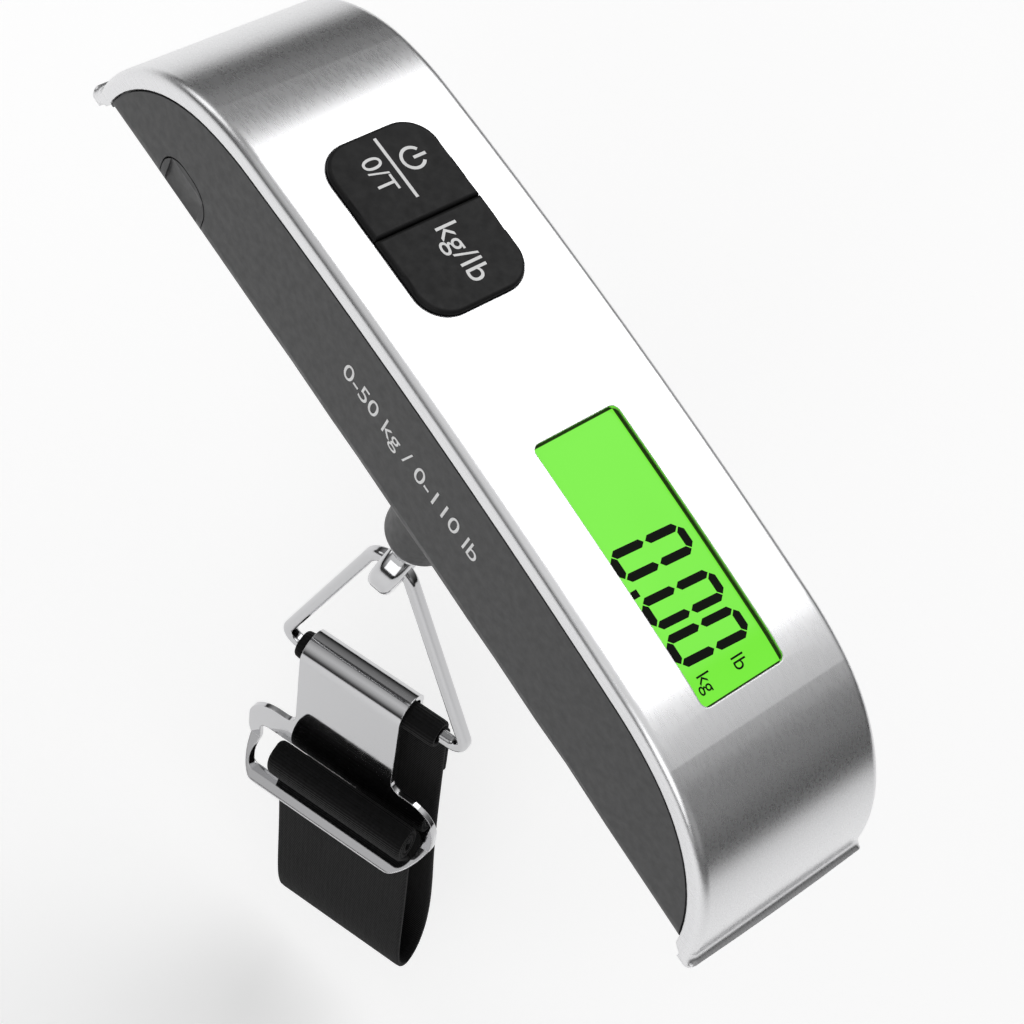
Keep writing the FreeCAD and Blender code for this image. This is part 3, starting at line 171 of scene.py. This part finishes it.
def lcd_film():
    film = Shader("lit_display", (0.03, 0.12, 0.005), 0.12)
    film.tint(film.noise(30, 2), (0.17, 0.80, 0.035), (0.20, 0.86, 0.055), "Emission Color")
    film.bsdf.inputs["Emission Strength"].default_value = 0.9
    film.bsdf.inputs["Specular IOR Level"].default_value = 0.2
    return film.material


def printed(name, colour):
    ink = Shader(name, colour, 0.7)
    ink.bsdf.inputs["Specular IOR Level"].default_value = 0.1
    ink.tint(ink.noise(800, 3), tuple(c * 0.92 for c in colour), colour)
    return ink.material


def paint(item, material):
    item.data.materials.clear()
    item.data.materials.append(material)


CREASE_ANGLE = 30


def finish_nodes(looks):
    """Gives each CAD node its look, smooth inside its faces and crisp at its edges."""
    for name, item in nodes.items():
        paint(item, looks.get(name, looks["other"]))
        item.data.shade_smooth()
        split = item.modifiers.new("crisp_edges", "EDGE_SPLIT")
        split.split_angle = math.radians(CREASE_ANGLE)


# ---------------------------------------------------------------- meshes
def new_piece(name, vertices, faces, material, body, smooth=True):
    mesh = bpy.data.meshes.new(name)
    mesh.from_pydata(vertices, [], faces)
    mesh.update()
    item = bpy.data.objects.new(name, mesh)
    bpy.context.scene.collection.objects.link(item)
    paint(item, material)
    if smooth:
        mesh.shade_smooth()
    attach(item, body)
    return item


def slabs(name, outlines, place, thick, material, body):
    """Thin raised shapes: each outline is a list of points that place() puts on a surface."""
    vertices, faces = [], []
    for outline in outlines:
        start, count = len(vertices), len(outline)
        for lift in (0, thick):
            vertices += [place(x, y, lift) for x, y in outline]
        faces.append([start + count + i for i in range(count)])
        for i in range(count):
            j = (i + 1) % count
            faces.append([start + i, start + j, start + count + j, start + count + i])
    new_piece(name, vertices, faces, material, body, smooth=False)


def words(name, text, size, matrix, material, body):
    curve = bpy.data.curves.new(name, "FONT")
    curve.body = text
    curve.size = size * MM
    curve.align_x, curve.align_y = "CENTER", "CENTER"
    curve.extrude = 0.015 * MM
    item = bpy.data.objects.new(name, curve)
    bpy.context.scene.collection.objects.link(item)
    item.matrix_world = matrix
    item.data.materials.append(material)
    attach(item, body)


# ---------------------------------------------------------------- keys and print
# radius of the body's bow, height of its crown, and height of the keys over it
ARCH, CROWN, KEY_RISE = 683.0, 27.9, 0.9
PRINT_THICK = 0.02
POWER_MARK, MARK_RADIUS, MARK_STROKE = (-34.9, 3.6), 1.95, 0.5
RULE_START, RULE_STEP, RULE_LOW, RULE_HIGH = -39.8, 1.75, 0.15, 0.65
SIDE_PRINT_Y, SIDE_PRINT_Z = -17.02, 15.6


def key_top(x, y, lift):
    z = CROWN + KEY_RISE - ARCH + math.sqrt(ARCH ** 2 - x ** 2)
    return (x * MM, y * MM, (z + 0.01 + lift) * MM)


def on_key(x, y):
    spot = Vector(key_top(x, y, 0.02))
    return Matrix.Translation(spot) @ Matrix.Rotation(math.asin(x / ARCH), 4, "Y")


def arc_band(centre, radius, width, start, end, steps=28):
    """Quads of a flat arc band."""
    quads = []
    for i in range(steps):
        angles = [math.radians(start + (end - start) * (i + k) / steps) for k in (0, 1)]
        ring = [(centre[0] + r * math.cos(a), centre[1] + r * math.sin(a))
                for a, r in ((angles[0], radius), (angles[1], radius),
                             (angles[1], radius - width), (angles[0], radius - width))]
        quads.append(ring)
    return quads


def rectangle(left, right, low, high):
    return [(left, low), (right, low), (right, high), (left, high)]


def make_key_legends(ink):
    x, y = POWER_MARK
    half = MARK_STROKE / 2
    shapes = arc_band(POWER_MARK, MARK_RADIUS, MARK_STROKE, 125, 415)
    shapes.append(rectangle(x - half, x + half, y + 0.1, y + 2.2))
    for i in range(6):
        left = RULE_START + i * RULE_STEP
        shapes.append(rectangle(left, left + RULE_STEP, RULE_LOW, RULE_HIGH))
    slabs("power_key_marks", shapes, key_top, PRINT_THICK, ink, "power_key")
    words("power_key_word", "0/T", 4.4, on_key(-34.5, -2.6), ink, "power_key")
    words("unit_key_word", "kg/lb", 5.2, on_key(-19.4, 1.0), ink, "unit_key")


def make_side_print(ink):
    spot = Matrix.Translation((0, SIDE_PRINT_Y * MM, SIDE_PRINT_Z * MM))
    matrix = spot @ Matrix.Rotation(math.pi / 2, 4, "X")
    words("side_print", "0-50 kg / 0-110 lb", 4.5, matrix, ink, "body")


# ---------------------------------------------------------------- display
FIGURES = ((26.6, 30.2), (34.0, 37.6), (39.8, 43.4))
FIGURE_LOW, FIGURE_HIGH, FIGURE_STROKE, FIGURE_LEAN, FIGURE_GAP = -6.3, 5.1, 1.25, 0.07, 0.14
POINT_LEFT, POINT_LOW, POINT_SIZE = 31.9, -6.9, 1.1
BORDER_LEFT, BORDER_RIGHT, BORDER_HALF, BORDER_WIDTH = 8.8, 50.0, 7.5, 0.4
UNIT_X, UNIT_SIZE, UNIT_REACH = 46.9, 3.1, 1.5
FILM = BVHTree.FromPolygons([v.co for v in nodes["display_window"].data.vertices],
                            [p.vertices for p in nodes["display_window"].data.polygons])


def film_height(x, y):
    return FILM.ray_cast(Vector((x * MM, y * MM, 0.1)), Vector((0, 0, -1)))[0].z / MM


def on_film(x, y, lift):
    return (x * MM, y * MM, (film_height(x, y) + 0.02 + lift) * MM)


def bar(start, end, width):
    """Six-sided segment of a figure between two points."""
    a, b = Vector(start), Vector(end)
    along = (b - a).normalized()
    side = Vector((-along.y, along.x)) * width / 2
    inset = along * width / 2
    return [tuple(a), tuple(a + inset - side), tuple(b - inset - side), tuple(b),
            tuple(b - inset + side), tuple(a + inset + side)]


def zero(left, right, low, high, width, lean):
    """Outline bars of a 0, leaning towards +X with height."""
    def spot(x, y):
        return (x + lean * (y - low), y)
    middle = (low + high) / 2
    ends = []
    for x in (left, right):
        ends.append(((x, low + FIGURE_GAP), (x, middle - FIGURE_GAP)))
        ends.append(((x, middle + FIGURE_GAP), (x, high - FIGURE_GAP)))
    for y in (low, high):
        ends.append(((left + FIGURE_GAP, y), (right - FIGURE_GAP, y)))
    return [bar(spot(*a), spot(*b), width) for a, b in ends]


def make_figures(ink, border_ink):
    shapes = []
    for left, right in FIGURES:
        shapes += zero(left, right, FIGURE_LOW, FIGURE_HIGH, FIGURE_STROKE, FIGURE_LEAN)
    shapes.append(rectangle(POINT_LEFT, POINT_LEFT + POINT_SIZE,
                            POINT_LOW, POINT_LOW + POINT_SIZE))
    slabs("display_figures", shapes, on_film, PRINT_THICK, ink, "body")
    # short lengths, so that the border follows the crowned film
    border = []
    step = (BORDER_RIGHT - BORDER_LEFT) / 20
    for i in range(20):
        left = BORDER_LEFT + i * step
        for low in (BORDER_HALF - BORDER_WIDTH, -BORDER_HALF):
            border.append(rectangle(left, left + step, low, low + BORDER_WIDTH))
    step = 2 * BORDER_HALF / 6
    for left in (BORDER_LEFT, BORDER_RIGHT - BORDER_WIDTH):
        for i in range(6):
            low = -BORDER_HALF + i * step
            border.append(rectangle(left, left + BORDER_WIDTH, low, low + step))
    slabs("display_border", border, on_film, PRINT_THICK / 2, border_ink, "body")
    fall = film_height(UNIT_X - UNIT_REACH, 0) - film_height(UNIT_X + UNIT_REACH, 0)
    turn = Matrix.Rotation(math.atan(fall) / (2 * UNIT_REACH), 4, "Y")
    for name, y in (("kg", -4.6), ("lb", 1.4)):
        matrix = Matrix.Translation(on_film(UNIT_X, y, 0.03)) @ turn
        words("display_" + name, name, UNIT_SIZE, matrix, ink, "body")


# ---------------------------------------------------------------- strap
# the ring's pivot, its turns in degrees, and the drop from the pivot to the base bar
PIVOT_Z, YAW, ROCK, DEPTH = -41.5, 16.9, 15.6, 36.3
WEB_SHIFT, WEB_SWAY = -0.9, 0.03
WEB_HALF_WIDTH, WEB_THICK, EYE_RADIUS = 14.8, 0.95, 2.12
LAP_HALF_WIDTH, LAP_THICK = 14.7, 0.9
ROLL_CENTRE, ROLL_TURNS, ROLL_STEPS = (-7.1, 28.95), 2.25, 30
STITCH_LONG, STITCH_WIDE, STITCH_PROUD = 0.75, 0.17, 0.13
STITCH_PITCH, STITCHES = 2, 13
# drop and y of each row of stitches: two on the lap, two under the roll
STITCH_ROWS = ((5, 3.68), (14.2, 3.66), (41.2, -6.52), (43.2, -6.52))
HANG = (Matrix.Translation((0, 0, PIVOT_Z * MM)) @ Matrix.Rotation(math.radians(YAW), 4, "Z")
        @ Matrix.Rotation(math.radians(-ROCK), 4, "Y"))


def smooth_path(points, passes=3):
    """Chaikin corner cutting of an open line."""
    for _ in range(passes):
        cut = [points[0]]
        for a, b in zip(points, points[1:]):
            cut.append((a[0] * 0.75 + b[0] * 0.25, a[1] * 0.75 + b[1] * 0.25))
            cut.append((a[0] * 0.25 + b[0] * 0.75, a[1] * 0.25 + b[1] * 0.75))
        points = cut + [points[-1]]
    return points


def ribbon(name, path, half_width, thick, material, shift):
    """Flat webbing swept along a line of (y, drop), with soft edges and a mapped weave."""
    section = []
    for u, h in ((-1, 0.25), (-0.985, 0.42), (-0.94, 0.5), (-0.6, 0.5), (-0.2, 0.5), (0.2, 0.5),
                 (0.6, 0.5), (0.94, 0.5), (0.985, 0.42), (1, 0.25)):
        section.append((u, h))
    section += [(u, -h) for u, h in reversed(section)]
    count = len(section)
    vertices, faces, along = [], [], [0.0]
    for a, b in zip(path, path[1:]):
        along.append(along[-1] + math.dist(a, b))
    for i, (y, drop) in enumerate(path):
        before, after = path[max(i - 1, 0)], path[min(i + 1, len(path) - 1)]
        t = Vector((after[0] - before[0], after[1] - before[1])).normalized()
        normal = Vector((t.y, -t.x))
        for u, h in section:
            x = shift(drop) + u * half_width
            vertices.append(HANG @ Vector((x * MM, (y + normal.x * h * thick) * MM,
                                           (-DEPTH - drop - normal.y * h * thick) * MM)))
    for i in range(len(path) - 1):
        for k in range(count):
            j = (k + 1) % count
            faces.append([i * count + k, i * count + j, (i + 1) * count + j, (i + 1) * count + k])
    faces.append(list(range(count))[::-1])
    faces.append([(len(path) - 1) * count + k for k in range(count)])
    item = new_piece(name, vertices, faces, material, "strap")
    layer = item.data.uv_layers.new(name="weave")
    for loop in item.data.loops:
        i, k = divmod(loop.vertex_index, count)
        layer.data[loop.index].uv = (section[k][0] * half_width, along[i])
    return item


def sway(drop):
    """The webbing's sideways place in the hanging frame, the same line as the CAD's."""
    return WEB_SHIFT + WEB_SWAY * drop


def make_strap(cloth, thread):
    """One webbing: rolled in front, down round the loop, up behind and sewn round the bar."""
    centre_y, centre_drop = ROLL_CENTRE
    roll = []
    for i in range(int(ROLL_TURNS * ROLL_STEPS) + 1):
        part = i / (ROLL_TURNS * ROLL_STEPS)
        angle = -2 * math.pi * (i / ROLL_STEPS)
        wide, tall = 0.55 + 2.0 * part, 1.5 + 2.2 * part
        roll.append((centre_y + wide * math.cos(angle), centre_drop + tall * math.sin(angle)))
    # the roll ends at its front; the strap goes on down from under it
    loop = [roll[-1], (-9.3, 26.2), (-9.8, 29), (-9.2, 31.6), (-7.9, 33.2), (-6.3, 35),
            (-6.0, 38), (-6.0, 55), (-6.3, 70), (-6.1, 78), (-4.8, 83.2), (-2.1, 85.6),
            (0.8, 83.6), (2.8, 78), (3.6, 70), (3.4, 60), (2.5, 46),
            (EYE_RADIUS, 30), (EYE_RADIUS, 8), (EYE_RADIUS, 1.2)]
    turns = [math.radians(angle) for angle in range(10, 291, 14)]
    eye = [(EYE_RADIUS * math.cos(a), -EYE_RADIUS * math.sin(a)) for a in turns]
    path = roll[:-1] + smooth_path(loop) + eye
    strap = ribbon("strap_loop", path, WEB_HALF_WIDTH, WEB_THICK, cloth, sway)
    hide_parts("strap_webbing", "strap_stopper")
    lap = smooth_path([(3.0, 2.9), (3.2, 4), (3.2, 12), (3.05, 15.9)], 2)
    ribbon("strap_lap", lap, LAP_HALF_WIDTH, LAP_THICK, cloth, sway)
    make_stitches(thread)


def make_stitches(thread):
    """Rows of short thread stitches across the lap and under the roll."""
    rings, sides = 5, 8
    vertices, faces = [], []

    def stitch(x, y, drop):
        start = len(vertices)
        for i in range(rings):
            a = -1 + 2 * i / (rings - 1)
            r = math.sqrt(max(0.05, 1 - a * a))
            for k in range(sides):
                b = 2 * math.pi * k / sides
                spot = Vector((x + a * STITCH_LONG, y + r * STITCH_PROUD * math.sin(b),
                               -DEPTH - drop + r * STITCH_WIDE * math.cos(b)))
                vertices.append(HANG @ (spot * MM))
        for i in range(rings - 1):
            for k in range(sides):
                j = (k + 1) % sides
                faces.append([start + i * sides + k, start + i * sides + j,
                              start + (i + 1) * sides + j, start + (i + 1) * sides + k])
        faces.append([start + k for k in range(sides)][::-1])
        faces.append([start + (rings - 1) * sides + k for k in range(sides)])

    first = STITCH_PITCH * (STITCHES - 1) / 2
    for drop, y in STITCH_ROWS:
        for i in range(STITCHES):
            stitch(sway(drop) - first + STITCH_PITCH * i, y, drop)
    new_piece("strap_stitches", vertices, faces, thread, "strap")


# ---------------------------------------------------------------- studio
FLOOR_SIZE, FLOOR_Z = 5, -0.178
# name, place and width in metres, and power in watts
LIGHTS = (("key_light", (-0.35, 0.75, 1.1), 0.9, 5),
          ("side_light", (0.5, -0.9, 0.55), 0.7, 2.2),
          ("rim_light", (-0.9, -0.3, 0.5), 0.5, 1))
# position and grey: the surroundings by height, and darker bands to each side of the middle
SKY = ((0.0, 0.6), (0.46, 0.3), (0.53, 0.03), (0.6, 0.14), (0.74, 0.6), (0.9, 0.95))
SIDE_BANDS = ((0.0, 1.0), (0.3, 1.0), (0.56, 0.35), (0.66, 0.35), (0.95, 0.85))
WORLD_STRENGTH = 0.85


def make_studio():
    bpy.ops.mesh.primitive_plane_add(size=FLOOR_SIZE, location=(0, 0, FLOOR_Z))
    floor = bpy.context.object
    floor.name = "floor"
    pale = Shader("pale_floor", (0.93, 0.93, 0.93), 0.6)
    pale.bsdf.inputs["Emission Color"].default_value = (1, 1, 1, 1)
    pale.bsdf.inputs["Emission Strength"].default_value = 0.26
    pale.tint(pale.noise(3, 2), (0.92, 0.92, 0.92), (0.94, 0.94, 0.94))
    floor.data.materials.append(pale.material)
    for name, spot, size, power in LIGHTS:
        data = bpy.data.lights.new(name, "AREA")
        data.size, data.energy = size, power
        light = bpy.data.objects.new(name, data)
        light.location = spot
        light.rotation_mode = "QUATERNION"
        light.rotation_quaternion = (-Vector(spot)).to_track_quat("-Z", "Y")
        bpy.context.scene.collection.objects.link(light)
    make_world()
    bpy.context.scene.view_settings.view_transform = "Standard"


def grey_ramp(tree, source, stops):
    ramp = tree.nodes.new("ShaderNodeValToRGB")
    elements = ramp.color_ramp.elements
    while len(elements) < len(stops):
        elements.new(0.5)
    for element, (position, grey) in zip(elements, stops):
        element.position = position
        element.color = (grey, grey, grey, 1)
    tree.links.new(source, ramp.inputs["Fac"])
    return ramp.outputs["Color"]


def make_world():
    world = bpy.data.worlds.new("studio")
    bpy.context.scene.world = world
    world.use_nodes = True
    tree = world.node_tree
    place = tree.nodes.new("ShaderNodeTexCoord")
    split = tree.nodes.new("ShaderNodeSeparateXYZ")
    tree.links.new(place.outputs["Generated"], split.inputs[0])
    half = tree.nodes.new("ShaderNodeMapRange")
    half.inputs["From Min"].default_value = -1
    tree.links.new(split.outputs["Z"], half.inputs["Value"])
    side = tree.nodes.new("ShaderNodeMath")
    side.operation = "ABSOLUTE"
    tree.links.new(split.outputs["X"], side.inputs[0])
    both = tree.nodes.new("ShaderNodeMix")
    both.data_type, both.blend_type = "RGBA", "MULTIPLY"
    both.inputs["Factor"].default_value = 1
    tree.links.new(grey_ramp(tree, half.outputs["Result"], SKY), both.inputs["A"])
    tree.links.new(grey_ramp(tree, side.outputs[0], SIDE_BANDS), both.inputs["B"])
    background = tree.nodes["Background"]
    tree.links.new(both.outputs["Result"], background.inputs["Color"])
    background.inputs["Strength"].default_value = WORLD_STRENGTH


# ---------------------------------------------------------------- assembly
make_camera()
DARK = moulded("dark_case", (0.031, 0.031, 0.032), (0.035, 0.035, 0.036), 0.5)
BLACK = moulded("black_plastic", (0.012, 0.012, 0.012), (0.02, 0.02, 0.021), 0.4)
KEYS = moulded("key_rubber", (0.006, 0.006, 0.0063), (0.008, 0.008, 0.0084), 0.5, 0.00001, 0.22)
STEEL, CHROME, CLOTH = brushed_steel(), chrome(), webbing_cloth()
ZINC = Shader("plated_steel", (0.6, 0.6, 0.6), 0.35, 1.0)
ZINC.spread(ZINC.noise(400, 3), 0.28, 0.42, "Roughness")
BRASS = Shader("brass", (0.72, 0.52, 0.22), 0.3, 1.0)
BRASS.spread(BRASS.noise(400, 3), 0.24, 0.36, "Roughness")
BOARD = moulded("board_green", (0.02, 0.16, 0.05), (0.03, 0.2, 0.07), 0.4)
THREAD = moulded("thread", (0.008, 0.008, 0.009), (0.014, 0.014, 0.015), 0.7, shine=0.2)
WHITE = printed("white_print", (0.85, 0.85, 0.85))
SEGMENT = printed("dark_segment", (0.004, 0.006, 0.003))
looks = {"other": BLACK, "top_cover": STEEL, "display_window": lcd_film(), "circuit_board": BOARD}
for name in ("lower_housing", "neck_housing", "battery_door"):
    looks[name] = DARK
for name in ("power_key_cap", "unit_key_cap"):
    looks[name] = KEYS
for name in ("eye_bolt", "triangle_ring", "hook_plate"):
    looks[name] = CHROME
for name in ("housing_screws", "board_screws", "load_cell_screws", "plate_screws", "neck_screws",
             "eye_washer", "eye_nut", "load_cell", "load_cell_plate", "coin_cell"):
    looks[name] = ZINC.material
for name in ("lower_bush", "upper_bush", "strain_gauges", "battery_contact_negative",
             "battery_contact_positive"):
    looks[name] = BRASS.material
finish_nodes(looks)
make_key_legends(WHITE)
make_side_print(WHITE)
make_figures(SEGMENT, printed("display_edge", (0.03, 0.07, 0.01)))
make_strap(CLOTH, THREAD)
make_studio()
